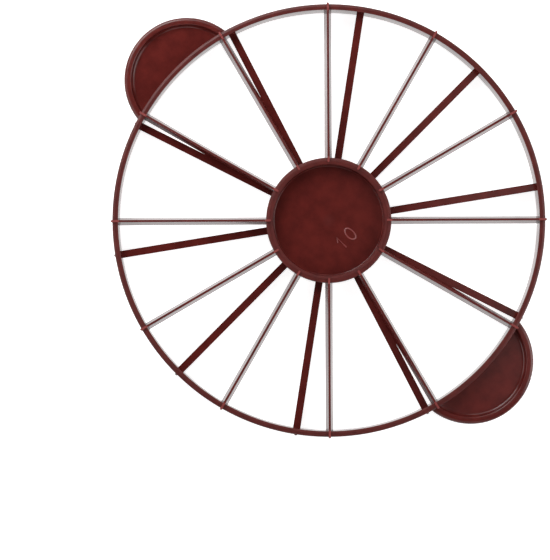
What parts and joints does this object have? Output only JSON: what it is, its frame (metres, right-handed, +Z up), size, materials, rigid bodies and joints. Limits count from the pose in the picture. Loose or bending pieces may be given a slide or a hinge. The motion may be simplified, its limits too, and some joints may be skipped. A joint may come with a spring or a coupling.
{
  "type": "cake portion marker",
  "caption": "Round cake marker with wedge blades on both faces between rim and hub, and half-moon grips.",
  "frame": {"origin": "under the middle of the wheel, on the plane that the lower blades' edges stand on", "axes": "+X towards one grip, +Y across the grips, +Z up, out of the face with more blades"},
  "size_m": [0.328, 0.2718, 0.02],
  "materials": {
    "plastic": "satin-gloss injection-moulded plastic, dark red-brown"
  },
  "bodies": {
    "root": {"cake_marker": "plastic"}
  },
  "joints": []
}
